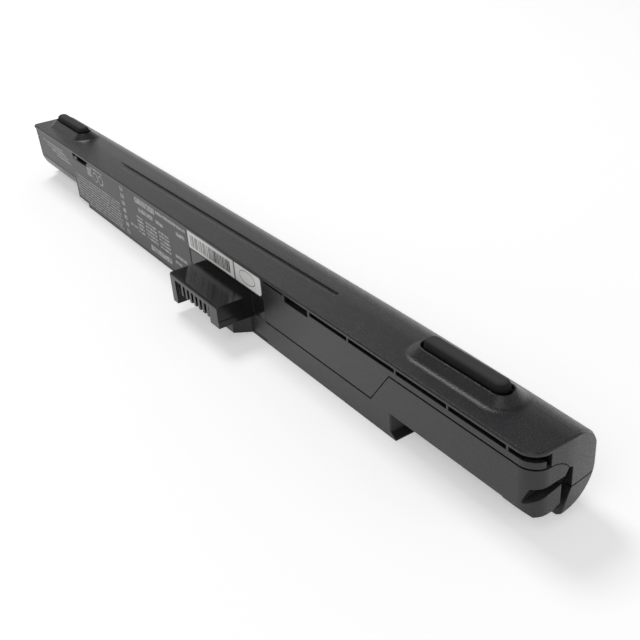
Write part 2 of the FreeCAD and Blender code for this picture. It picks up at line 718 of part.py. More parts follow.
def tail_duct():
    centres = contact_centres()
    reach = tail_thickness / 2 + tail_clearance
    return box(centres[0] - reach, centres[-1] + reach, -plinth_reach + plinth_wall, inner_front + 0.1,
               floor_z, 1 - connector_wall_drop)


def cradles():
    """Upright ribs of the lower shell that carry the cells along the deep middle."""
    inner = section(depth - rear_wall / 2, 0, floor_z - 0.1, 1, rear_low_radius - rear_wall / 2)
    block = bowed_bar(inner, deep_start + end_wall, deep_end - end_wall)
    ribs = []
    for i in range(cell_count):
        start = cell_start + i * (cell_length + cell_gap)
        for place in cradle_places:
            x = start + place * cell_length
            if deep_start + deep_bevel + end_wall < x < deep_end - end_wall - cradle_thickness:
                ribs.append(box(x, x + cradle_thickness, cradle_front, OUT, -OUT, cell_z - 2))
    hollow = rod_x(cell_y, cell_z, bore_radius, 0, length)
    return [block.common(rib).cut(hollow) for rib in ribs]


def board_ledges():
    front = board_y + board_gap
    rear = board_y + board_width - board_gap
    ledges = []
    for y0 in (front, rear - ledge_width):
        ledges.append(box(board_start, board_end, y0, y0 + ledge_width, floor_z - 0.1, board_low))
    return ledges


def ribbon_sector(inner, outer, widen, x0, x1):
    """Part of a ring round the cell axis, between the two angles of the ribbons."""
    start = math.radians(ribbon_angle_start - widen)
    end = math.radians(ribbon_angle_end + widen)
    middle = (start + end) / 2

    def spot(radius, angle):
        return vec(x0, cell_y + radius * math.cos(angle), cell_z + radius * math.sin(angle))

    edges = [Part.Arc(spot(inner, start), spot(inner, middle), spot(inner, end)).toShape(),
             Part.LineSegment(spot(inner, end), spot(outer, end)).toShape(),
             Part.Arc(spot(outer, end), spot(outer, middle), spot(outer, start)).toShape(),
             Part.LineSegment(spot(outer, start), spot(inner, start)).toShape()]
    return Part.Face(Part.Wire(edges)).extrude(vec(x1 - x0, 0, 0))


def shells():
    """Upper and lower shell, split along the seam with a lap joint behind a shadow groove."""
    solid = add_bosses(outer_form())
    cuts, backs = slots_and_backs()
    walls = solid.cut(cavity())
    groove = ribbon_sector(bore_radius - 0.5, ribbon_outer + cell_clearance, 1,
                           cell_start - 1, cell_end + 0.5)
    walls = walls.cut(groove)
    walls = walls.fuse([back.common(solid) for back in backs])
    walls = walls.cut(cuts + claw_cuts() + [crease(), label_recess_cut()])
    walls = walls.cut([boss_recess(foot_far_x), boss_recess(foot_near_x)])

    window = box(flange_start, flange_end, -1, inner_front + 0.1, -seam_deep, -flange_top)
    lap = box(room_start + lap_margin, room_end - lap_margin, -1, OUT, -OUT, 0)
    lap = lap.cut(box(flange_start - 1, flange_end + 1, -1, cell_y, -OUT, 0))
    low_part = below_seam(0, 0)
    groove_band = below_seam(seam_gap, seam_gap_rear).cut(low_part).cut(inside_wall(seam_groove))
    lip_band = below_seam(lap_height, lap_height).cut(low_part).common(lap)
    lip = lip_band.common(inside_wall(lap_skin + lap_clearance)).common(walls)
    lap_top = lap_height + lap_clearance
    socket = below_seam(lap_top, lap_top).common(lap).common(inside_wall(lap_skin))

    upper = walls.cut([low_part, groove_band, window, socket])
    lower = walls.common(low_part).fuse([lip, plinth()] + cradles() + board_ledges())
    return upper, lower.cut(tail_duct()).removeSplitter()


def connector_housing():
    """The block with open contact slots, its keying leg and near wall, and its flange."""
    front = -connector_reach
    back = front_face + label_recess
    end = connector_start + connector_width
    leg_end = connector_start + connector_leg
    slots_end = contact_centres()[-1] + contact_slot / 2
    block = box(connector_start, end, front, back, -connector_rib_drop, -connector_top)
    rear = box(connector_start, end, -connector_rear, back, -connector_wall_drop, -connector_top)
    leg = box(connector_start, leg_end, front, -connector_leg_back, -connector_leg_drop, -connector_top)
    wall = box(slots_end, end, front, back, -connector_wall_drop, -connector_top)
    body = block.fuse([rear, leg, wall]).removeSplitter()
    rims = [e for e in body.Edges if e.BoundBox.ZMin > -connector_top - 0.01 and
            e.BoundBox.YMin < front + 0.01 and e.BoundBox.XLength > 1]
    body = body.makeFillet(connector_edge, rims)
    lip = box(end - 0.1, end + connector_lip, front, -connector_leg_back, -connector_wall_drop,
              -connector_wall_drop + connector_lip_height)
    flange = box(flange_start + flange_clearance, flange_end - flange_clearance, back, inner_front,
                 -seam_deep, -flange_top - flange_clearance)
    keeper = box(flange_start + 1, flange_end - 1, inner_front - 0.1, inner_front + keeper_depth,
                 -flange_top - keeper_lap, -flange_top + keeper_rise)
    keeper = keeper.cut(box(flange_start, flange_end, inner_front - 0.2, inner_front + keeper_gap,
                            -flange_top - flange_clearance, 0))
    body = body.fuse([lip, flange, keeper])
    brow = -connector_top - connector_brow
    cuts = [box(leg_end, slots_end, front - 1, front + rib_set_back, -OUT, brow)]
    for x in contact_centres():
        cuts.append(box(x - contact_slot / 2, x + contact_slot / 2, front - 1, -connector_rear, -OUT,
                        -connector_top - connector_beam))
        half = contact_spread / 2 + contact_metal + contact_clearance
        cuts.append(box(x - half, x + half, -connector_rear - 0.1, tail_y - contact_clearance + web_depth,
                        -OUT, -connector_top - connector_beam))
    return body.cut(cuts).removeSplitter()


def contact(x):
    """Twin spring leaves joined by a web, with a tail that runs in to the board."""
    top = -connector_top - connector_beam - contact_clearance
    low = -connector_rib_drop + contact_set_up
    front = -connector_reach + contact_set_back
    half = contact_spread / 2 + contact_metal
    back = tail_y + tail_thickness
    leaves = box(x - half, x + half, front, back, low, top)
    between = box(x - contact_spread / 2, x + contact_spread / 2, front - 1, tail_y, low - 1, top + 1)
    mouth = prism_z([(x - half - 1, front - 1), (x - half - 1, front + leaf_lead),
                     (x - half, front + leaf_lead), (x - contact_spread / 2, front - 1)], low - 1, top + 1)
    other = mouth.mirror(vec(x, 0, 0), vec(1, 0, 0))
    t = tail_thickness / 2
    drop = box(x - t, x + t, tail_y, back, -tail_drop - tail_thickness, top)
    run = box(x - t, x + t, tail_y, tail_end_y + tail_thickness, -tail_drop - tail_thickness, -tail_drop)
    foot_part = box(x - t, x + t, tail_end_y, tail_end_y + tail_thickness, board_top, -tail_drop)
    return leaves.cut([between, mouth, other]).fuse([drop, run, foot_part]).removeSplitter()


def connector_contacts():
    return Part.makeCompound([contact(x) for x in contact_centres()])


def cell(start):
    """One round cell turned about its axis: can, shoulder and plus button."""
    r = cell_radius
    shoulder = start + cell_length - can_shoulder
    button = plus_button_diameter / 2
    outline = [(start, 0), (start, r), (shoulder, r), (shoulder, button),
               (start + cell_length, button), (start + cell_length, 0)]
    wire = Part.makePolygon([vec(x, cell_y, cell_z + out) for x, out in outline + outline[:1]])
    return Part.Face(wire).revolve(vec(0, cell_y, cell_z), vec(1, 0, 0), 360)


def insulator_ring(start):
    """A paper ring round the plus button, cut with short straight sides."""
    x = start + cell_length - can_shoulder
    outlines = []
    for size in (ring_outer, ring_inner):
        outlines.append([(cell_y + size / 2 * math.cos(2 * math.pi * i / ring_sides),
                          cell_z + size / 2 * math.sin(2 * math.pi * i / ring_sides))
                         for i in range(ring_sides)])
    ring = prism_x(outlines[0], x, x + ring_thickness)
    return ring.cut(prism_x(outlines[1], x - 1, x + 1))


def strip_leg(x0, x1):
    """The part of a strip that runs from its weld plate down to the board."""
    plate_low = cell_z - strip_weld_width / 2
    leg = box(x0, x1, leg_y, leg_y + strip_leg_width, board_top, plate_low + strip_leg_width)
    bridge = box(x0, x1, leg_y, cell_y, plate_low, plate_low + strip_leg_width)
    return leg.fuse(bridge)


def link_strip(start):
    """A folded nickel strip between one cell's plus button and the next cell's base."""
    x0 = start + cell_length
    x1 = x0 + cell_gap
    half = strip_weld_width / 2
    near = box(x0, x0 + strip, cell_y - half, cell_y + half, cell_z - half, cell_z + half)
    far = box(x1 - strip, x1, cell_y - half, cell_y + half, cell_z - half, cell_z + half)
    base = vec((x0 + x1) / 2, cell_y - half, cell_z + half)
    fold = Part.makeCylinder(cell_gap / 2, 2 * half, base, vec(0, 1, 0))
    fold = fold.cut(Part.makeCylinder(cell_gap / 2 - strip, 2 * half, base, vec(0, 1, 0)))
    fold = fold.cut(box(x0 - 1, x1 + 1, -OUT, OUT, -OUT, cell_z + half))
    return near.fuse([far, fold, strip_leg(x1 - strip, x1)]).removeSplitter()


def end_strip(plate_x, x0, x1, board_x):
    """An end plate with a ribbon that lies on the cells and reaches the board's end."""
    half = strip_weld_width / 2
    plate = box(plate_x, plate_x + strip, cell_y - half, cell_y + half, cell_z - half, cell_z + half)
    spoke = ribbon_sector(half, ribbon_outer, 0, plate_x, plate_x + strip)
    ribbon = ribbon_sector(ribbon_inner, ribbon_outer, 0, x0, x1)
    angle = math.radians(ribbon_angle_end)
    inner = (cell_y + ribbon_inner * math.cos(angle), cell_z + ribbon_inner * math.sin(angle))
    outer = (cell_y + ribbon_outer * math.cos(angle), cell_z + ribbon_outer * math.sin(angle))
    leg = prism_x([inner, outer, (outer[0], board_top), (outer[0] + strip, board_top),
                   (outer[0] + strip, outer[1])], board_x, board_x + strip_leg_width)
    return plate.fuse([spoke, ribbon, leg]).removeSplitter()


def foam_pad(x0, x1):
    half = foam_size / 2
    return box(x0, x1, cell_y - half, cell_y + half, cell_z - half, cell_z + half)


def on_board(place, size_x, size_y, height):
    x = board_start + place
    return box(x, x + size_x, parts_y, parts_y + size_y, board_top, board_top + height)


def board_chip(place, size_x):
    """A moulded chip on the board with its long top edges sloped back."""
    x = board_start + place
    middle = board_top + part_height / 2
    top = board_top + part_height
    rear = parts_y + chip_width
    return prism_x([(parts_y, board_top), (parts_y, middle), (parts_y + chip_draft, top),
                    (rear - chip_draft, top), (rear, middle), (rear, board_top)], x, x + size_x)


def build():
    nodes = {}
    nodes["upper_shell"], nodes["lower_shell"] = shells()
    nodes["foot_far"] = foot(foot_far_x)
    nodes["foot_near"] = foot(foot_near_x)
    nodes["connector_housing"] = connector_housing()
    nodes["connector_contacts"] = connector_contacts()
    nodes["front_label"] = front_label()
    nodes["barcode_label"] = white_label(label_end + label_margin, barcode_end, False)
    nodes["plain_label"] = white_label(barcode_end + label_margin, plain_label_end, True)

    starts = [cell_start + i * (cell_length + cell_gap) for i in range(cell_count)]
    for number, start in enumerate(starts, 1):
        nodes[f"cell_{number}"] = cell(start)
        nodes[f"insulator_ring_{number}"] = insulator_ring(start)
    for number, start in enumerate(starts[:-1], 1):
        nodes[f"link_strip_{number}"] = link_strip(start)
    minus_end = board_start + ribbon_lap
    nodes["minus_strip"] = end_strip(cell_start - strip, cell_start - strip, minus_end,
                                     minus_end - strip_leg_width)
    plus_start = board_end - ribbon_lap
    nodes["plus_strip"] = end_strip(cell_end, plus_start, cell_end + strip, plus_start)
    fuse_x = cell_end + strip
    nodes["thermal_fuse"] = box(fuse_x, fuse_x + thermal_fuse_thickness,
                                cell_y - thermal_fuse_width / 2, cell_y + thermal_fuse_width / 2,
                                cell_z - thermal_fuse_height / 2, cell_z + thermal_fuse_height / 2)
    nodes["foam_far"] = foam_pad(room_start, cell_start - strip - foam_gap)
    nodes["foam_near"] = foam_pad(fuse_x + thermal_fuse_thickness + foam_gap, room_end)

    nodes["protection_board"] = box(board_start, board_end, board_y, board_y + board_width,
                                    board_low, board_top)
    nodes["gauge_chip"] = board_chip(gauge_place, gauge_length)
    nodes["monitor_chip"] = board_chip(monitor_place, monitor_length)
    nodes["power_transistors"] = Part.makeCompound(
        [board_chip(place, transistor_length) for place in transistor_places])
    nodes["pack_fuse"] = on_board(pack_fuse_place, pack_fuse_length, chip_width, part_height)
    nodes["sense_resistor"] = on_board(resistor_place, resistor_length, chip_width, resistor_height)
    nodes["board_capacitors"] = Part.makeCompound(
        [on_board(place, capacitor_length, capacitor_width, capacitor_width) for place in capacitor_places])
    nodes["thermistor"] = on_board(thermistor_place, thermistor_width, thermistor_width, thermistor_height)
    return nodes


if __name__ == "__main__":
    os.makedirs("parts", exist_ok=True)
    # The origin is the middle of the base of the box round everything, connector included
    shift = vec(-length / 2, -(depth - connector_reach) / 2, deep_height)
    for name, shape in build().items():
        shape.translated(shift).exportStep(f"parts/{name}.step")
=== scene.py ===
import math
import random

import bmesh
import bpy
from bpy.props import FloatProperty, FloatVectorProperty, IntProperty, PointerProperty
from mathutils import Matrix, Vector


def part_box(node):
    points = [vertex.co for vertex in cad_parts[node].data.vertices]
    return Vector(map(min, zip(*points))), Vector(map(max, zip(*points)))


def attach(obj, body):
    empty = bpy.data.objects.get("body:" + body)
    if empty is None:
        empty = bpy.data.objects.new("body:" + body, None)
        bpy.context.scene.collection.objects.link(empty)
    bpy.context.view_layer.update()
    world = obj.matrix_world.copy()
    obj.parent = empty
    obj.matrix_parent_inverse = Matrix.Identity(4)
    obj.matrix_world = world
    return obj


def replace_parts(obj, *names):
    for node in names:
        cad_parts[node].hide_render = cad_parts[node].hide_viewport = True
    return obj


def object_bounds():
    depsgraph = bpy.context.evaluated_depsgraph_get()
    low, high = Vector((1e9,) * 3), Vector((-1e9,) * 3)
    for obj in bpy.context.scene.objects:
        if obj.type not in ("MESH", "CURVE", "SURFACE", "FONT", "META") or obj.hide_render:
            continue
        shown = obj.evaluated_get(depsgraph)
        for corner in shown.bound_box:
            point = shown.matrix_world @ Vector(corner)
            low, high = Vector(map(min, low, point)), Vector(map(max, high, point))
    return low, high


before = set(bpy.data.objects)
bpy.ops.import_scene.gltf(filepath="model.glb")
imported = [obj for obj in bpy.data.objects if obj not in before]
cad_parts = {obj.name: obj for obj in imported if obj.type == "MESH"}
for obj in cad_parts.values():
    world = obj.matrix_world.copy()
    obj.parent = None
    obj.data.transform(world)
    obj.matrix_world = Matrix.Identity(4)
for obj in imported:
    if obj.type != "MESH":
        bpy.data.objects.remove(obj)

bl_info = {
    "name": "Laptop battery",
    "version": (1, 0, 0),
    "blender": (4, 5, 0),
    "location": "View3D > Sidebar > Battery",
    "description": "Dresses a slim laptop battery: moulded case, rubber feet, connector, labels and cells",
    "category": "Object",
}

MM = 0.001
CAD_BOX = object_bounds()
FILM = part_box("front_label")
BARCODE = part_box("barcode_label")
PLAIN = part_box("plain_label")
SHEET_LIFT = 0.015 * MM     # ink stands this far proud of the sheet that it is printed on
WELD = 0.0005 * MM          # points nearer than this are one point
ON_BASE = 0.001 * MM        # points within this height lie on a pad's base
FOOT_SIDES = 48             # facets round both half-round ends of a foot
SOFT_SAMPLES = 6            # rays for each softened edge and each dark corner


def linear(hex_colour):
    """Turn an sRGB hex colour into the linear colour that shaders take."""
    digits = hex_colour.lstrip("#")
    channels = [int(digits[i:i + 2], 16) / 255 for i in (0, 2, 4)]
    curve = [c / 12.92 if c <= 0.04045 else ((c + 0.055) / 1.055) ** 2.4 for c in channels]
    return (*curve, 1.0)


# Near black for the painted shade in open corners and in the near end's seam
PAINTED_SHADE = linear("#050505")


def colour_property(name, description, hex_colour):
    """A colour in the panel, given as sRGB hex."""
    return FloatVectorProperty(name=name, description=description, subtype="COLOR", size=4,
                               min=0, max=1, default=linear(hex_colour))


def length_property(name, description, millimetres):
    """A length in the panel, given in millimetres and held in metres."""
    return FloatProperty(name=name, description=description, default=millimetres * MM,
                         min=0, unit="LENGTH", subtype="DISTANCE", precision=5)


class CaseFinish(bpy.types.PropertyGroup):
    """The two shells"""
    plastic: colour_property("Case plastic", "Colour of the moulded case", "#262628")
    grain: length_property("Grain", "Size of the etched grain", 0.35)
    relief: length_property("Relief", "Height of the etched grain", 0.075)
    edge: length_property("Edge rounding", "Rounding that every moulded edge shows", 0.25)
    # How far the painted shade reaches into open corners
    shade_reach: length_property("Painted shade reach", "How far into the open dark corners reach", 2.5)
    roughness: FloatProperty(name="Roughness", description="How dull the moulded case is",
                             default=0.32, min=0, max=1, subtype="FACTOR")


class FootFinish(bpy.types.PropertyGroup):
    """The two rubber feet"""
    rubber: colour_property("Rubber", "Colour of the feet", "#1d1d1e")
    # Colour of a foot's upper face: painted light from above together with the grey of use
    lit_and_scuffed: colour_property("Lit and scuffed rubber", "Colour of a foot's upper face, greyed by use", "#464647")
    rounding: length_property("Rounding", "Rounding of a foot's upper edge", 1.6)
    skirt: length_property("Skirt", "Bevel of a foot's edge down in its recess", 0.25)
    segments: IntProperty(name="Segments", description="Facets across that rounding",
                          default=7, min=2, max=24)


class ConnectorFinish(bpy.types.PropertyGroup):
    """The connector and its contacts"""
    nylon: colour_property("Nylon", "Colour of the connector block", "#151517")
    gold: colour_property("Contact metal", "Colour of the plated contacts", "#d9b25a")


class LabelFinish(bpy.types.PropertyGroup):
    """The three labels and what is printed on them"""
    film: colour_property("Film", "Colour of the long label", "#363638")
    print_ink: colour_property("Print", "Colour of the print on the long label", "#b4b4b6")
    paper: colour_property("White label", "Colour of both white labels", "#ecece9")
    # This colour also paints the shadow strip in the gap between the white labels
    bar_ink: colour_property("Bars", "Colour of the bars and the ring on the white labels", "#3c3c3e")
    bar_seed: IntProperty(name="Bar pattern", description="Picks another row of plain bars",
                          default=11, min=0)


class InnerFinish(bpy.types.PropertyGroup):
    """The cells and the protection board"""
    sleeve: colour_property("Cell sleeve", "Colour of the shrunk sleeve round each cell", "#2f6b58")
    board: colour_property("Board", "Colour of the board's solder mask", "#1d5a38")


class StageSettings(bpy.types.PropertyGroup):
    """Floor, lights and camera"""
    floor: colour_property("Floor", "Colour of the pale floor", "#f2f2f2")
    lens: FloatProperty(name="Lens", description="Focal length in millimetres", default=52.14,
                        min=10, max=300)
    place: FloatVectorProperty(name="Camera place", description="Where the camera stands",
                               default=(0.2434, -0.11293, 0.1382), size=3, subtype="TRANSLATION",
                               unit="LENGTH", precision=5)
    turn: FloatVectorProperty(name="Camera turn", description="How the camera is turned",
                              default=[math.radians(a) for a in (59.969, 3.942, 55.640)], size=3,
                              subtype="EULER", unit="ROTATION")
    key_power: FloatProperty(name="Key light", description="Power of the large soft light in front",
                             default=3.5, min=0, unit="POWER")
    top_power: FloatProperty(name="Top light", description="Power of the small light above the far end",
                             default=4.5, min=0, unit="POWER")
    fill_power: FloatProperty(name="Fill light", description="Power of the low light at the near end",
                              default=3.0, min=0, unit="POWER")


def add_node(material, kind, links=None, values=None, **settings):
    """Add one shader node: settings fill its own fields, values its sockets, links feed its sockets."""
    tree = material.node_tree
    node = tree.nodes.new(kind)
    for field, value in settings.items():
        setattr(node, field, value)
    for socket, value in (values or {}).items():
        node.inputs[socket].default_value = value
    for socket, source in (links or {}).items():
        tree.links.new(source, node.inputs[socket])
    return node


def grain_of(material, size, detail=2.0, stretch=(1, 1, 1)):
    """A speckle in the object's own space whose spots are as large as the size given, in metres."""
    place = add_node(material, "ShaderNodeTexCoord")
    drawn = add_node(material, "ShaderNodeMapping", {"Vector": place.outputs["Object"]},
                     {"Scale": stretch})
    noise = add_node(material, "ShaderNodeTexNoise", {"Vector": drawn.outputs["Vector"]},
                     {"Scale": 1 / size, "Detail": detail, "Roughness": 0.6})
    return noise.outputs["Fac"]


def shade(colour, gain):
    """The same colour, lighter or darker."""
    return (*[min(1, channel * gain) for channel in colour[:3]], 1.0)


# A colour mix has its share, its two colours and its result in these sockets
MIX_SHARE, MIX_UNDER, MIX_OVER, MIX_RESULT = 0, 6, 7, 2
# Most of a noise lies between these two values
NOISE_LOW, NOISE_HIGH = 0.3, 0.7


def finish(name, colour, patch, contrast, grain, relief, roughness, wander, ior=1.5, metallic=0.0):
    """A surface with soft patches of tone, a fine relief and a gloss that wanders a little."""
    material = bpy.data.materials.new(name)
    material.use_nodes = True
    shader = material.node_tree.nodes["Principled BSDF"]
    shader.inputs["Metallic"].default_value = metallic
    if not metallic:
        shader.inputs["IOR"].default_value = ior
    patches = add_node(material, "ShaderNodeMapRange", {"Value": grain_of(material, patch)},
                       {"From Min": NOISE_LOW, "From Max": NOISE_HIGH})
    tone = add_node(material, "ShaderNodeMix", {MIX_SHARE: patches.outputs["Result"]},
                    {MIX_UNDER: shade(colour, 1 - contrast), MIX_OVER: shade(colour, 1 + contrast)},
                    data_type="RGBA")
    fine = grain_of(material, grain)
    gloss = add_node(material, "ShaderNodeMapRange", {"Value": fine},
                     {"From Min": NOISE_LOW, "From Max": NOISE_HIGH,
                      "To Min": roughness - wander, "To Max": roughness + wander})
    bump = add_node(material, "ShaderNodeBump", {"Height": fine}, {"Strength": 1.0, "Distance": relief})
    for socket, source in (("Base Color", tone.outputs[MIX_RESULT]), ("Roughness", gloss.outputs["Result"]),
                           ("Normal", bump.outputs["Normal"])):
        material.node_tree.links.new(source, shader.inputs[socket])
    return material


def lay_over(material, pattern, none_at, most_at, most, colour):
    """Lay a second colour over the first: none of it where the pattern is none_at, most at most_at."""
    colour_socket = material.node_tree.nodes["Principled BSDF"].inputs["Base Color"]
    below = colour_socket.links[0].from_socket
    share = add_node(material, "ShaderNodeMapRange", {"Value": pattern},
                     {"From Min": none_at, "From Max": most_at, "To Min": 0.0, "To Max": most})
    both = add_node(material, "ShaderNodeMix", {MIX_SHARE: share.outputs["Result"], MIX_UNDER: below},
                    {MIX_OVER: colour}, data_type="RGBA")
    material.node_tree.links.new(both.outputs[MIX_RESULT], colour_socket)


# The crease along the lid: two places along it, and how far back it lies at each
CREASE_X = (-66.7 * MM, 64.5 * MM)
CREASE_Y = (4.5 * MM, 5.9 * MM)
# Behind it the lid falls to the rear: how softly that begins, how far back and how softly it ends
FALL_BEGINS_OVER = 3 * MM
FALL_REACH = 10 * MM
FALL_ENDS_OVER = 2 * MM
# Its slope at two places along the lid
FALL_X = (-80 * MM, 35 * MM)
FALL_SLOPE = (-0.17, -0.18)


def lid_crown(material, normal):
    """Normals of a lid that falls slightly to the rear behind its crease, a little more at the near end."""
    place = add_node(material, "ShaderNodeTexCoord")
    axes = add_node(material, "ShaderNodeSeparateXYZ", {"Vector": place.outputs["Object"]})
    crease = add_node(material, "ShaderNodeMapRange", {"Value": axes.outputs["X"]},
                      {"From Min": CREASE_X[0], "From Max": CREASE_X[1],
                       "To Min": CREASE_Y[0], "To Max": CREASE_Y[1]})
    behind = add_node(material, "ShaderNodeMath", {0: axes.outputs["Y"], 1: crease.outputs["Result"]},
                      operation="SUBTRACT")
    begun = add_node(material, "ShaderNodeMath", {0: behind.outputs[0]}, {1: 0.0, 2: FALL_BEGINS_OVER},
                     operation="SMOOTH_MAX")
    reach = add_node(material, "ShaderNodeMath", {0: begun.outputs[0]},
                     {1: FALL_REACH, 2: FALL_ENDS_OVER}, operation="SMOOTH_MIN")
    slope = add_node(material, "ShaderNodeMapRange", {"Value": axes.outputs["X"]},
                     {"From Min": FALL_X[0], "From Max": FALL_X[1],
                      "To Min": FALL_SLOPE[0], "To Max": FALL_SLOPE[1]})
    fall = add_node(material, "ShaderNodeMath", {0: reach.outputs[0], 1: slope.outputs["Result"]},
                    operation="MULTIPLY")
    return add_node(material, "ShaderNodeBump", {"Height": fall.outputs[0], "Normal": normal},
                    {"Strength": 1.0, "Distance": 1.0}).outputs["Normal"]


def sunken_top(material, normal, sink):
    """Normals of a thick block whose top drew in as it cooled, towards the wall that it stands on."""
    facing = add_node(material, "ShaderNodeNewGeometry")
    axes = add_node(material, "ShaderNodeSeparateXYZ", {"Vector": facing.outputs["Normal"]})
    upward = add_node(material, "ShaderNodeMapRange", {"Value": axes.outputs["Z"]},
                      {"From Min": 0.8, "From Max": 0.95, "To Min": 0.0, "To Max": sink})
    lean = add_node(material, "ShaderNodeCombineXYZ", {"Y": upward.outputs["Result"]})
    leant = add_node(material, "ShaderNodeVectorMath", {0: normal, 1: lean.outputs["Vector"]},
                     operation="ADD")
    return add_node(material, "ShaderNodeVectorMath", {0: leant.outputs["Vector"]},
                    operation="NORMALIZE").outputs["Vector"]


def round_edges(material, radius, crowned=False, sink=0.0):
    """Let every moulded edge catch light as if it had a small radius; a lid is crowned, a block sinks."""
    bump = [n for n in material.node_tree.nodes if n.bl_idname == "ShaderNodeBump"][0]
    soft = add_node(material, "ShaderNodeBevel", values={"Radius": radius}, samples=SOFT_SAMPLES)
    normal = soft.outputs["Normal"]
    if crowned:
        normal = lid_crown(material, normal)
    if sink:
        normal = sunken_top(material, normal, sink)
    material.node_tree.links.new(normal, bump.inputs["Normal"])


# The seam across the near end: two distances back, and how high it lies at each
SEAM_Y = (6.2 * MM, 14.9 * MM)
SEAM_Z = (9.12 * MM, 9.62 * MM)
# It is dark to the first distance above and below, and has faded out at the second
SEAM_DARK, SEAM_FADED = 0.26 * MM, 0.48 * MM
# It shows past this place along the case, and behind this one
SEAM_PAST_X, SEAM_PAST_Y = 143.5 * MM, 6.0 * MM


def near_end_seam(material):
    """A pattern that is 1 in the seam across the near end and 0 away from it."""
    place = add_node(material, "ShaderNodeTexCoord")
    axes = add_node(material, "ShaderNodeSeparateXYZ", {"Vector": place.outputs["Object"]})
    middle = add_node(material, "ShaderNodeMapRange", {"Value": axes.outputs["Y"]},
                      {"From Min": SEAM_Y[0], "From Max": SEAM_Y[1],
                       "To Min": SEAM_Z[0], "To Max": SEAM_Z[1]})
    above = add_node(material, "ShaderNodeMath", {0: axes.outputs["Z"], 1: middle.outputs["Result"]},
                     operation="SUBTRACT")
    away = add_node(material, "ShaderNodeMath", {0: above.outputs[0]}, operation="ABSOLUTE")
    line = add_node(material, "ShaderNodeMapRange", {"Value": away.outputs[0]},
                    {"From Min": SEAM_DARK, "From Max": SEAM_FADED, "To Min": 1.0, "To Max": 0.0})
    at_end = add_node(material, "ShaderNodeMath", {0: axes.outputs["X"]}, {1: SEAM_PAST_X},
                      operation="GREATER_THAN")
    behind = add_node(material, "ShaderNodeMath", {0: axes.outputs["Y"]}, {1: SEAM_PAST_Y},
                      operation="GREATER_THAN")
    both = add_node(material, "ShaderNodeMath", {0: at_end.outputs[0], 1: behind.outputs[0]},
                    operation="MULTIPLY")
    return add_node(material, "ShaderNodeMath", {0: line.outputs["Result"], 1: both.outputs[0]},
                    operation="MULTIPLY").outputs[0]


def etched_abs(settings):
    """ABS moulded in a spark-etched tool: a dull charcoal, with pale specks painted in for the light that
    its fine pits catch.
    """
    material = finish("spark_etched_abs", settings.plastic, patch=14 * MM, contrast=0.07,
                      grain=settings.grain, relief=settings.relief, roughness=settings.roughness,
                      wander=0.08, ior=1.45)
    round_edges(material, settings.edge, crowned=True)
    # Painted glints: pale specks laid into the colour stand for light caught by the etched pits. The real
    # specks are near a tenth of a millimetre; they are drawn three times as coarse to show
    lay_over(material, grain_of(material, settings.grain * 0.8, detail=1.0), none_at=0.6, most_at=0.75,
             most=0.55, colour=shade(settings.plastic, 3.6))
    # Painted shade: slots, gaps and open corners are darkened towards black by an occlusion mask, so they
    # stay near black
    corners = add_node(material, "ShaderNodeAmbientOcclusion", values={"Distance": settings.shade_reach},
                       samples=SOFT_SAMPLES)
    lay_over(material, corners.outputs["AO"], none_at=0.55, most_at=0.15, most=1.0, colour=PAINTED_SHADE)
    # Painted shade: the seam stands a little open across the near end, and the shade in it is painted as a
    # dark line there
    lay_over(material, near_end_seam(material), none_at=0.0, most_at=1.0, most=1.0, colour=PAINTED_SHADE)
    return material


def moulded_rubber(settings):
    """Nitrile rubber from a bead-blasted mould: black and dull, with a paler upper face that is painted
    light from above and greyed by use.
    """
    material = finish("moulded_rubber", settings.rubber, patch=5 * MM, contrast=0.12, grain=0.3 * MM,
                      relief=0.012 * MM, roughness=0.8, wander=0.05, ior=1.35)
    material.node_tree.nodes["Principled BSDF"].inputs["Specular IOR Level"].default_value = 0.35
    lay_over(material, grain_of(material, 0.7 * MM, detail=4.0), none_at=0.58, most_at=0.8, most=0.25,
             colour=linear("#4a4a4a"))
    # Painted light: the upper face is lightened as if lit from above, and greyed by use too; the sides keep
    # the black of the mould
    facing = add_node(material, "ShaderNodeNewGeometry")
    axes = add_node(material, "ShaderNodeSeparateXYZ", {"Vector": facing.outputs["Normal"]})
    lay_over(material, axes.outputs["Z"], none_at=0.6, most_at=0.98, most=0.9, colour=settings.lit_and_scuffed)
    # Painted shade: down in its recess the rubber is darkened by an occlusion mask to match the gap round
    # it
    corners = add_node(material, "ShaderNodeAmbientOcclusion", values={"Distance": 3 * MM},
                       samples=SOFT_SAMPLES)
    lay_over(material, corners.outputs["AO"], none_at=0.9, most_at=0.5, most=1.0, colour=linear("#060606"))
    return material


def glossy_nylon(settings):
    """Glass-filled nylon from a polished tool: black and glossy, with faint flow marks along the block."""
    material = finish("glossy_nylon", settings.nylon, patch=6 * MM, contrast=0.15, grain=2.5 * MM,
                      relief=0.004 * MM, roughness=0.17, wander=0.04, ior=1.42)
    round_edges(material, radius=0.2 * MM, sink=0.2)
    lay_over(material, grain_of(material, 1.2 * MM, stretch=(0.2, 1, 1)), none_at=0.5, most_at=0.75,
             most=0.3, colour=linear("#232325"))
    return material


def gold_plate(settings):
    """Hard gold over phosphor bronze strip: a warm dull shine with fine drawing lines."""
    material = finish("gold_plated_bronze", settings.gold, patch=2 * MM, contrast=0.08, grain=0.25 * MM,
                      relief=0.002 * MM, roughness=0.3, wander=0.06, metallic=1.0)
    lay_over(material, grain_of(material, 0.2 * MM, stretch=(1, 0.1, 1)), none_at=0.35, most_at=0.65,
             most=0.4, colour=shade(settings.gold, 0.75))
    return material


def satin_film(settings):
    """Metallised polyester film, over-printed pewter grey: satin, paler than the case, finely ribbed."""
    material = finish("satin_polyester_film", settings.film, patch=18 * MM, contrast=0.05, grain=0.4 * MM,
                      relief=0.005 * MM, roughness=0.42, wander=0.06, ior=1.48)
    lay_over(material, grain_of(material, 0.5 * MM, stretch=(0.05, 1, 1)), none_at=0.35, most_at=0.65,
             most=0.25, colour=shade(settings.film, 1.2))
    return material


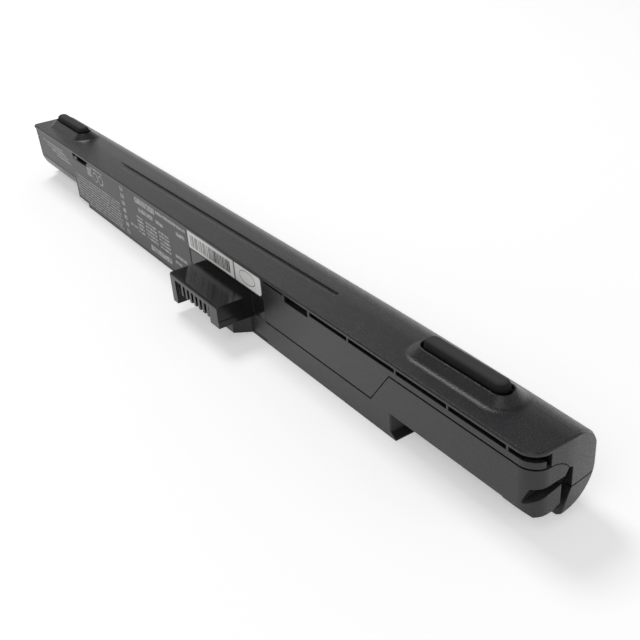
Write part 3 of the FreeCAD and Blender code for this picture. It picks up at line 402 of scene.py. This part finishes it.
def screened_ink(settings):
    """Screen-printed light ink whose fine dots thin out here and there, so the film shows through."""
    material = finish("screened_light_ink", settings.print_ink, patch=3 * MM, contrast=0.05, grain=0.3 * MM,
                      relief=0.003 * MM, roughness=0.45, wander=0.05)
    # The real dots are about 0.15 mm; at that size they blur to one grey, so they are drawn at 0.7 mm
    lay_over(material, grain_of(material, 0.7 * MM, detail=3.0, stretch=(1, 1, 0.6)), none_at=0.42,
             most_at=0.6, most=0.8, colour=shade(settings.film, 1.15))
    return material


def label_paper(settings):
    """Coated paper label stock: an even soft white with a very fine felt."""
    material = finish("coated_label_paper", settings.paper, patch=7 * MM, contrast=0.03, grain=0.2 * MM,
                      relief=0.004 * MM, roughness=0.55, wander=0.05)
    lay_over(material, grain_of(material, 0.4 * MM, detail=4.0), none_at=0.4, most_at=0.7, most=0.12,
             colour=shade(settings.paper, 0.8))
    return material


def transfer_ink(settings):
    """Thermal-transfer resin ink: dark, with a ragged lighter speckle where the ribbon took badly."""
    material = finish("thermal_transfer_ink_and_gap_shadow", settings.bar_ink, patch=2 * MM, contrast=0.1, grain=0.2 * MM,
                      relief=0.002 * MM, roughness=0.4, wander=0.05)
    lay_over(material, grain_of(material, 2.5 * MM, detail=4.0, stretch=(1, 1, 0.3)), none_at=0.45,
             most_at=0.7, most=0.6, colour=shade(settings.paper, 0.6))
    return material


def shrunk_sleeve(settings):
    """PVC sleeve shrunk round a cell: glossy and thin, with faint rings where it drew in."""
    material = finish("shrunk_pvc_sleeve", settings.sleeve, patch=9 * MM, contrast=0.06, grain=0.6 * MM,
                      relief=0.01 * MM, roughness=0.28, wander=0.05)
    lay_over(material, grain_of(material, 1.5 * MM, stretch=(1, 0.08, 0.08)), none_at=0.4, most_at=0.7,
             most=0.35, colour=shade(settings.sleeve, 0.75))
    return material


def fish_paper():
    """Vulcanised fibre paper: pale buff with long felted fibres."""
    buff = linear("#cdbf97")
    material = finish("vulcanised_fibre", buff, patch=4 * MM, contrast=0.06, grain=0.25 * MM,
                      relief=0.02 * MM, roughness=0.75, wander=0.06)
    lay_over(material, grain_of(material, 0.5 * MM, detail=5.0, stretch=(1, 0.3, 1)), none_at=0.45,
             most_at=0.65, most=0.4, colour=shade(buff, 0.75))
    return material


def rolled_nickel():
    """Cold-rolled nickel strip: a warm grey metal with rolling lines along its length."""
    grey = linear("#b9b3a8")
    material = finish("rolled_nickel", grey, patch=5 * MM, contrast=0.05, grain=0.3 * MM, relief=0.003 * MM,
                      roughness=0.34, wander=0.06, metallic=1.0)
    lay_over(material, grain_of(material, 0.3 * MM, stretch=(0.1, 1, 1)), none_at=0.4, most_at=0.6,
             most=0.4, colour=shade(grey, 0.8))
    return material


def cell_foam():
    """Closed-cell polyurethane foam: dark grey, fully dull, with open cut cells."""
    grey = linear("#3c3c3e")
    material = finish("cut_polyurethane_foam", grey, patch=3 * MM, contrast=0.1, grain=0.5 * MM,
                      relief=0.15 * MM, roughness=0.95, wander=0.04)
    lay_over(material, grain_of(material, 0.6 * MM, detail=1.0), none_at=0.5, most_at=0.35, most=0.7,
             colour=shade(grey, 0.45))
    return material


def masked_board(settings):
    """Glass-epoxy board under green solder mask, with copper runs that show as paler lines."""
    material = finish("masked_glass_epoxy", settings.board, patch=6 * MM, contrast=0.06, grain=0.3 * MM,
                      relief=0.004 * MM, roughness=0.3, wander=0.05)
    lay_over(material, grain_of(material, 1.1 * MM, detail=0.0, stretch=(0.12, 1, 1)), none_at=0.52,
             most_at=0.55, most=1.0, colour=shade(settings.board, 1.5))
    return material


def fired_ceramic():
    """Fired ceramic bodies of small board parts: tan and slightly grainy."""
    tan = linear("#a98f6c")
    material = finish("fired_ceramic", tan, patch=1.5 * MM, contrast=0.12, grain=0.15 * MM,
                      relief=0.006 * MM, roughness=0.5, wander=0.08)
    lay_over(material, grain_of(material, 0.8 * MM, detail=3.0), none_at=0.4, most_at=0.65, most=0.4,
             colour=shade(tan, 0.7))
    return material


def moulded_epoxy():
    """Moulded epoxy of chip packages and the fuses: black-grey, dull, with a fine sandy face."""
    black = linear("#242426")
    material = finish("moulded_epoxy", black, patch=2 * MM, contrast=0.08, grain=0.18 * MM,
                      relief=0.01 * MM, roughness=0.6, wander=0.07)
    lay_over(material, grain_of(material, 0.3 * MM), none_at=0.55, most_at=0.75, most=0.35,
             colour=linear("#4a4a4c"))
    return material


def dress(material, *nodes):
    """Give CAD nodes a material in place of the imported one."""
    for node in nodes:
        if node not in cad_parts:
            raise RuntimeError(f"there is no CAD node {node}")
        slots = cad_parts[node].data.materials
        slots.clear()
        slots.append(material)


def finished_piece(name, bm, material, smooth_angle=None):
    """Turn a bmesh into a piece that rides on the battery and carries one material."""
    bmesh.ops.remove_doubles(bm, verts=bm.verts, dist=WELD)
    bmesh.ops.recalc_face_normals(bm, faces=bm.faces)
    mesh = bpy.data.meshes.new(name)
    bm.to_mesh(mesh)
    bm.free()
    if smooth_angle:
        mesh.polygons.foreach_set("use_smooth", [True] * len(mesh.polygons))
        mesh.set_sharp_from_angle(angle=math.radians(smooth_angle))
    piece = bpy.data.objects.new(name, mesh)
    bpy.context.scene.collection.objects.link(piece)
    mesh.materials.append(material)
    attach(piece, "root")
    return piece


def foot_pad(node, material, settings):
    """An oblong rubber pad with half-round ends: its upper edge is broadly rounded."""
    low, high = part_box(node)
    radius = (high.y - low.y) / 2
    half = (high.x - low.x) / 2 - radius
    bm = bmesh.new()
    turn = Matrix.Rotation(math.pi / FOOT_SIDES, 4, "Z")
    bmesh.ops.create_circle(bm, cap_ends=True, segments=FOOT_SIDES, radius=radius, matrix=turn)
    for sign in (-1, 1):
        side = [v for v in bm.verts if v.co.x * sign > 0 and abs(v.co.x) <= radius * 1.001]
        bmesh.ops.translate(bm, verts=side, vec=(sign * half, 0, 0))
    raised = bmesh.ops.extrude_face_region(bm, geom=bm.faces[:])
    top = [v for v in raised["geom"] if isinstance(v, bmesh.types.BMVert)]
    bmesh.ops.translate(bm, verts=top, vec=(0, 0, high.z - low.z))
    bmesh.ops.recalc_face_normals(bm, faces=bm.faces)
    rim = [e for e in bm.edges if all(v in top for v in e.verts)]
    bmesh.ops.bevel(bm, geom=rim, offset=settings.rounding, segments=settings.segments, profile=0.5,
                    affect="EDGES", material=-1)
    skirt = [e for e in bm.edges if all(abs(v.co.z) < ON_BASE for v in e.verts)]
    bmesh.ops.bevel(bm, geom=skirt, offset=settings.skirt, segments=2, profile=0.5,
                    affect="EDGES", material=-1)
    bmesh.ops.translate(bm, verts=bm.verts, vec=((low.x + high.x) / 2, (low.y + high.y) / 2, low.z))
    pad = finished_piece(node.replace("foot", "foot_pad"), bm, material, smooth_angle=40)
    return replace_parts(pad, node)


def ink_field(bm, sheet, x0, x1, z0, z1):
    """One flat field of ink on a label's face; distances are millimetres from its far upper corner."""
    low, high = sheet
    made = bmesh.ops.create_grid(bm, x_segments=1, y_segments=1, size=0.5)["verts"]    # one unit square
    bmesh.ops.scale(bm, verts=made, vec=((x1 - x0) * MM, (z1 - z0) * MM, 1))
    bmesh.ops.rotate(bm, verts=made, cent=(0, 0, 0), matrix=Matrix.Rotation(math.pi / 2, 3, "X"))
    place = Vector((low.x + (x0 + x1) / 2 * MM, low.y - SHEET_LIFT, high.z - (z0 + z1) / 2 * MM))
    bmesh.ops.translate(bm, verts=made, vec=place)


def ink_ring(bm, sheet, x, z, wide, tall, line, sides=32):
    """A plain oval outline printed on a label's face."""
    low, high = sheet
    outer = bmesh.ops.create_circle(bm, segments=sides, radius=0.5)["verts"]
    inner = bmesh.ops.create_circle(bm, segments=sides, radius=0.5)["verts"]
    bmesh.ops.scale(bm, verts=outer, vec=(wide * MM, tall * MM, 1))
    bmesh.ops.scale(bm, verts=inner, vec=((wide - 2 * line) * MM, (tall - 2 * line) * MM, 1))
    edges = list({e for v in outer + inner for e in v.link_edges})
    bmesh.ops.bridge_loops(bm, edges=edges)
    both = outer + inner
    bmesh.ops.rotate(bm, verts=both, cent=(0, 0, 0), matrix=Matrix.Rotation(math.pi / 2, 3, "X"))
    bmesh.ops.translate(bm, verts=both, vec=(low.x + x * MM, low.y - SHEET_LIFT, high.z - z * MM))


def give_thickness(bm):
    """Turn the flat ink towards the front and give it the thickness of a print."""
    bmesh.ops.recalc_face_normals(bm, faces=bm.faces)
    bm.normal_update()
    turned = [face for face in bm.faces if face.normal.y > 0]
    bmesh.ops.reverse_faces(bm, faces=turned)
    raised = bmesh.ops.extrude_face_region(bm, geom=bm.faces[:], use_keep_orig=True)
    front = [v for v in raised["geom"] if isinstance(v, bmesh.types.BMVert)]
    bmesh.ops.translate(bm, verts=front, vec=(0, SHEET_LIFT, 0))


# Fields of print on the long label: far end, near end, top and bottom in millimetres from its far
# upper corner. They stand where such a label has its print, and say nothing.
BOLD_FIELDS = [(96.8, 112.6, 0.7, 3.0), (105.2, 121.2, 16.2, 18.2)]
PLAIN_FIELDS = [
    (99.0, 110.4, 4.3, 5.9), (113.6, 135.2, 0.9, 2.0), (89.6, 95.6, 12.9, 13.8),
    (127.8, 134.4, 3.7, 5.0), (125.2, 133.6, 12.6, 13.8), (124.4, 129.2, 15.2, 16.2),
    (53.2, 57.2, 1.2, 5.2), (53.2, 68.6, 0.9, 1.5), (112.4, 118.4, 4.6, 5.8),
]
COLUMNS = ((96.4, 101.4), (103.2, 112.0), (113.8, 121.6))
COLUMN_TOPS = (8.1, 9.5, 10.9, 12.3, 13.7)
COLUMN_LINE = 0.75
# A block of ten fine lines; those below the far step of the case start further in
BLOCK_START, BLOCK_END = 38.6, 81.8
BLOCK_TOP, BLOCK_PITCH, BLOCK_LINE = 8.2, 1.12, 0.42
BELOW_STEP, PAST_STEP = 17.6, 48.4
SHORTER = 1.2               # every third line ends this much sooner
# A column of seven spaced marks beside it: both its edges, and the first mark's top and bottom
MARK_START, MARK_END = 84.4, 87.0
MARK_TOP, MARK_FOOT, MARK_PITCH = 0.6, 2.2, 2.75
# A pale field of four lines near the far end: the first line, and how each next one moves on
PALE_LINE = (5.2, 28.0, 2.4, 3.0)
PALE_SHIFT = (4.6, 2.4, 1.15, 1.15)
# Two plain ovals: where their middles are
OVAL_PLACES = ((61.0, 4.2), (66.0, 4.2))


def long_label_print(bm):
    """All the ink on the long label: fields, columns, fine lines, marks and two ovals that say nothing."""
    for x0, x1, z0, z1 in BOLD_FIELDS + PLAIN_FIELDS:
        ink_field(bm, FILM, x0, x1, z0, z1)
    for start, end in COLUMNS:
        for top in COLUMN_TOPS:
            ink_field(bm, FILM, start, end, top, top + COLUMN_LINE)
    for i in range(10):
        top = BLOCK_TOP + BLOCK_PITCH * i
        start = BLOCK_START if top < BELOW_STEP else PAST_STEP
        end = BLOCK_END - SHORTER * (i % 3 == 2)
        ink_field(bm, FILM, start, end, top, top + BLOCK_LINE)
    for i in range(7):
        ink_field(bm, FILM, MARK_START, MARK_END, MARK_TOP + MARK_PITCH * i, MARK_FOOT + MARK_PITCH * i)
    for i in range(4):
        ink_field(bm, FILM, *[first + shift * i for first, shift in zip(PALE_LINE, PALE_SHIFT)])
    for x, z in OVAL_PLACES:
        ink_ring(bm, FILM, x=x, z=z, wide=4.4, tall=4.0, line=0.5)


# Bars on the white label, in millimetres: those in its near half are bolder
FAR_BARS, FAR_GAPS = (0.22, 0.3, 0.45), (0.3, 0.4, 0.7)
NEAR_BARS, NEAR_GAPS = (0.5, 0.7, 0.9), (0.22, 0.3, 0.4)
NEAR_PART = 0.55            # of the label's width from its far end
BAR_TOP, BAR_FOOT = 1.3, 5.2
FAR_MARGIN, NEAR_MARGIN = 1.6, 2.2


def bars(bm, seed):
    """A row of plain upright bars of random widths; they stand for no number."""
    dice = random.Random(seed)
    width = (BARCODE[1].x - BARCODE[0].x) / MM
    x = FAR_MARGIN
    while x < width - NEAR_MARGIN:
        near = x > NEAR_PART * width
        bar = dice.choice(NEAR_BARS if near else FAR_BARS)
        ink_field(bm, BARCODE, x, x + bar, BAR_TOP, BAR_FOOT)
        x += bar + dice.choice(NEAR_GAPS if near else FAR_GAPS)


# Painted shadow: a strip of the bars' dark ink this wide, along the plain label's far edge, stands for the
# shade in the gap between the two white labels
LABEL_GAP = 0.6             # millimetres of dark edge between the two white labels


class BATTERY_OT_case(bpy.types.Operator):
    """Give both shells their etched plastic"""
    bl_idname = "battery.case"
    bl_label = "Case"

    def execute(self, context):
        dress(etched_abs(context.scene.battery_case), "upper_shell", "lower_shell")
        return {"FINISHED"}


class BATTERY_OT_feet(bpy.types.Operator):
    """Model both rubber feet and set them in their bosses"""
    bl_idname = "battery.feet"
    bl_label = "Rubber feet"

    def execute(self, context):
        settings = context.scene.battery_feet
        rubber = moulded_rubber(settings)
        for node in ("foot_far", "foot_near"):
            foot_pad(node, rubber, settings)
        return {"FINISHED"}


class BATTERY_OT_connector(bpy.types.Operator):
    """Finish the connector block and its contacts"""
    bl_idname = "battery.connector"
    bl_label = "Connector"

    def execute(self, context):
        settings = context.scene.battery_connector
        dress(glossy_nylon(settings), "connector_housing")
        dress(gold_plate(settings), "connector_contacts")
        return {"FINISHED"}


class BATTERY_OT_labels(bpy.types.Operator):
    """Finish the long label and both white labels, print plain fields, bars and a ring on them, and paint a
    shadow strip in the gap between the white labels
    """
    bl_idname = "battery.labels"
    bl_label = "Labels"

    def execute(self, context):
        settings = context.scene.battery_labels
        dress(satin_film(settings), "front_label")
        dress(label_paper(settings), "barcode_label", "plain_label")
        bm = bmesh.new()
        long_label_print(bm)
        give_thickness(bm)
        finished_piece("label_print", bm, screened_ink(settings))
        # This ink also paints the shadow strip in the gap between the white labels
        dark_ink_and_gap_shadow = transfer_ink(settings)
        bm = bmesh.new()
        bars(bm, settings.bar_seed)
        give_thickness(bm)
        finished_piece("label_bars", bm, dark_ink_and_gap_shadow)
        bm = bmesh.new()
        ink_ring(bm, PLAIN, x=7.6, z=3.0, wide=9.0, tall=4.2, line=0.2)
        # Painted shadow: a dark strip along the plain label's far edge for the shade in the gap between the
        # white labels
        ink_field(bm, PLAIN, 0.0, LABEL_GAP, 0.0, (PLAIN[1].z - PLAIN[0].z) / MM)
        give_thickness(bm)
        finished_piece("label_ring_and_gap_shadow", bm, dark_ink_and_gap_shadow)
        return {"FINISHED"}


class BATTERY_OT_cells(bpy.types.Operator):
    """Finish the cells, their strips, rings and foam"""
    bl_idname = "battery.cells"
    bl_label = "Cells and strips"

    def execute(self, context):
        dress(shrunk_sleeve(context.scene.battery_inner), *[f"cell_{i}" for i in range(1, 5)])
        dress(fish_paper(), *[f"insulator_ring_{i}" for i in range(1, 5)])
        dress(rolled_nickel(), "link_strip_1", "link_strip_2", "link_strip_3", "minus_strip", "plus_strip")
        dress(cell_foam(), "foam_far", "foam_near")
        return {"FINISHED"}


class BATTERY_OT_board(bpy.types.Operator):
    """Finish the protection board and the parts that it carries"""
    bl_idname = "battery.board"
    bl_label = "Protection board"

    def execute(self, context):
        dress(masked_board(context.scene.battery_inner), "protection_board")
        dress(moulded_epoxy(), "gauge_chip", "monitor_chip", "power_transistors", "pack_fuse",
              "thermal_fuse")
        dress(fired_ceramic(), "sense_resistor", "board_capacitors", "thermistor")
        return {"FINISHED"}


# Where each lamp stands and how wide it is, in metres
LAMPS = {
    "key_light": ((0.45, -0.75, 0.95), 0.9),
    "top_light": ((-0.6, 0.1, 0.95), 0.4),
    "fill_light": ((1.1, 0.3, 0.35), 1.1),
}
FLOOR_HALF = 1.6            # metres from its middle to each side
FLOOR_DROP = 0.05 * MM      # the floor lies this far below the battery
FLOOR_LIFT = 0.38           # light that the floor adds to rays that look at it
# Height of the look in the sky, and the grey there
SKY_STOPS = ((0.0, 0.98), (0.31, 0.5), (0.57, 0.18), (1.0, 0.15))
SENSOR = 36                 # millimetres across


class BATTERY_OT_stage(bpy.types.Operator):
    """Make the pale floor, the soft studio light and the camera"""
    bl_idname = "battery.stage"
    bl_label = "Stage"

    def execute(self, context):
        stage = context.scene.battery_stage
        self.floor(context, stage)
        self.sky(context)
        powers = (stage.key_power, stage.top_power, stage.fill_power)
        for (name, (place, size)), power in zip(LAMPS.items(), powers):
            self.lamp(context, name, place, size, power)
        camera = bpy.data.objects.new("camera", bpy.data.cameras.new("camera"))
        context.scene.collection.objects.link(camera)
        camera.location = stage.place
        camera.rotation_euler = stage.turn
        camera.data.lens = stage.lens
        camera.data.sensor_width = SENSOR
        camera.data.clip_start = 0.01
        context.scene.camera = camera
        context.scene.view_settings.view_transform = "Standard"
        return {"FINISHED"}

    def floor(self, context, stage):
        """A wide matt sheet that the battery lies on; rays that look at it find it white."""
        bm = bmesh.new()
        bmesh.ops.create_grid(bm, x_segments=4, y_segments=4, size=FLOOR_HALF)
        bmesh.ops.translate(bm, verts=bm.verts, vec=(0, 0, CAD_BOX[0][2] - FLOOR_DROP))
        mesh = bpy.data.meshes.new("floor")
        bm.to_mesh(mesh)
        bm.free()
        floor = bpy.data.objects.new("floor", mesh)
        context.scene.collection.objects.link(floor)
        material = finish("matt_floor", stage.floor, patch=900 * MM, contrast=0.01, grain=3 * MM,
                          relief=0.01 * MM, roughness=0.9, wander=0.02)
        shader = material.node_tree.nodes["Principled BSDF"]
        shader.inputs["Specular IOR Level"].default_value = 0.0
        path = add_node(material, "ShaderNodeLightPath")
        looks = add_node(material, "ShaderNodeMath",
                         {0: path.outputs["Is Camera Ray"], 1: path.outputs["Is Glossy Ray"]},
                         operation="MAXIMUM")
        looks = add_node(material, "ShaderNodeMath",
                         {0: looks.outputs[0], 1: path.outputs["Is Transmission Ray"]},
                         operation="MAXIMUM")
        lift = add_node(material, "ShaderNodeMapRange", {"Value": looks.outputs[0]},
                        {"To Min": 0.0, "To Max": FLOOR_LIFT})
        shader.inputs["Emission Color"].default_value = (1, 1, 1, 1)
        material.node_tree.links.new(lift.outputs["Result"], shader.inputs["Emission Strength"])
        mesh.materials.append(material)

    def sky(self, context):
        """A studio that is bright round the horizon and darker overhead, as behind a low white sweep."""
        world = context.scene.world or bpy.data.worlds.new("World")
        context.scene.world = world
        world.use_nodes = True
        background = world.node_tree.nodes["Background"]
        place = add_node(world, "ShaderNodeTexCoord")
        axes = add_node(world, "ShaderNodeSeparateXYZ", {"Vector": place.outputs["Generated"]})
        ramp = add_node(world, "ShaderNodeValToRGB", {"Fac": axes.outputs["Z"]})
        while len(ramp.color_ramp.elements) < len(SKY_STOPS):
            ramp.color_ramp.elements.new(0.5)
        for element, (position, level) in zip(ramp.color_ramp.elements, SKY_STOPS):
            element.position = position
            element.color = (level, level, level, 1)
        world.node_tree.links.new(ramp.outputs["Color"], background.inputs["Color"])
        background.inputs["Strength"].default_value = 1.0

    def lamp(self, context, name, place, size, power):
        """A square soft light aimed at the battery."""
        data = bpy.data.lights.new(name, "AREA")
        data.size = size
        data.energy = power
        lamp = bpy.data.objects.new(name, data)
        context.scene.collection.objects.link(lamp)
        lamp.location = place
        lamp.rotation_euler = (-Vector(place)).to_track_quat("-Z", "Y").to_euler()


class VIEW3D_PT_battery(bpy.types.Panel):
    """Lists the battery's sizes and colours and the steps that dress it"""
    bl_label = "Laptop battery"
    bl_idname = "VIEW3D_PT_battery"
    bl_space_type = "VIEW_3D"
    bl_region_type = "UI"
    bl_category = "Battery"

    def draw(self, context):
        for group, operators in STEPS:
            box = self.layout.box()
            settings = getattr(context.scene, group)
            for field in settings.bl_rna.properties:
                if field.identifier not in ("rna_type", "name"):
                    box.prop(settings, field.identifier)
            for operator in operators:
                box.operator(operator.bl_idname)


GROUPS = {
    "battery_case": CaseFinish,
    "battery_feet": FootFinish,
    "battery_connector": ConnectorFinish,
    "battery_labels": LabelFinish,
    "battery_inner": InnerFinish,
    "battery_stage": StageSettings,
}
STEPS = (
    ("battery_case", (BATTERY_OT_case,)),
    ("battery_feet", (BATTERY_OT_feet,)),
    ("battery_connector", (BATTERY_OT_connector,)),
    ("battery_labels", (BATTERY_OT_labels,)),
    ("battery_inner", (BATTERY_OT_cells, BATTERY_OT_board)),
    ("battery_stage", (BATTERY_OT_stage,)),
)
CLASSES = (*GROUPS.values(), *[operator for _, operators in STEPS for operator in operators],
           VIEW3D_PT_battery)


def register():
    """Add the groups, operators and panel to Blender."""
    for cls in CLASSES:
        bpy.utils.register_class(cls)
    for name, group in GROUPS.items():
        setattr(bpy.types.Scene, name, PointerProperty(type=group))


def unregister():
    """Take them out again."""
    for name in GROUPS:
        delattr(bpy.types.Scene, name)
    for cls in reversed(CLASSES):
        bpy.utils.unregister_class(cls)


def main():
    """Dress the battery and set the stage."""
    register()
    bpy.ops.battery.case()
    bpy.ops.battery.feet()
    bpy.ops.battery.connector()
    bpy.ops.battery.labels()
    bpy.ops.battery.cells()
    bpy.ops.battery.board()
    bpy.ops.battery.stage()


if __name__ == "__main__":
    main()
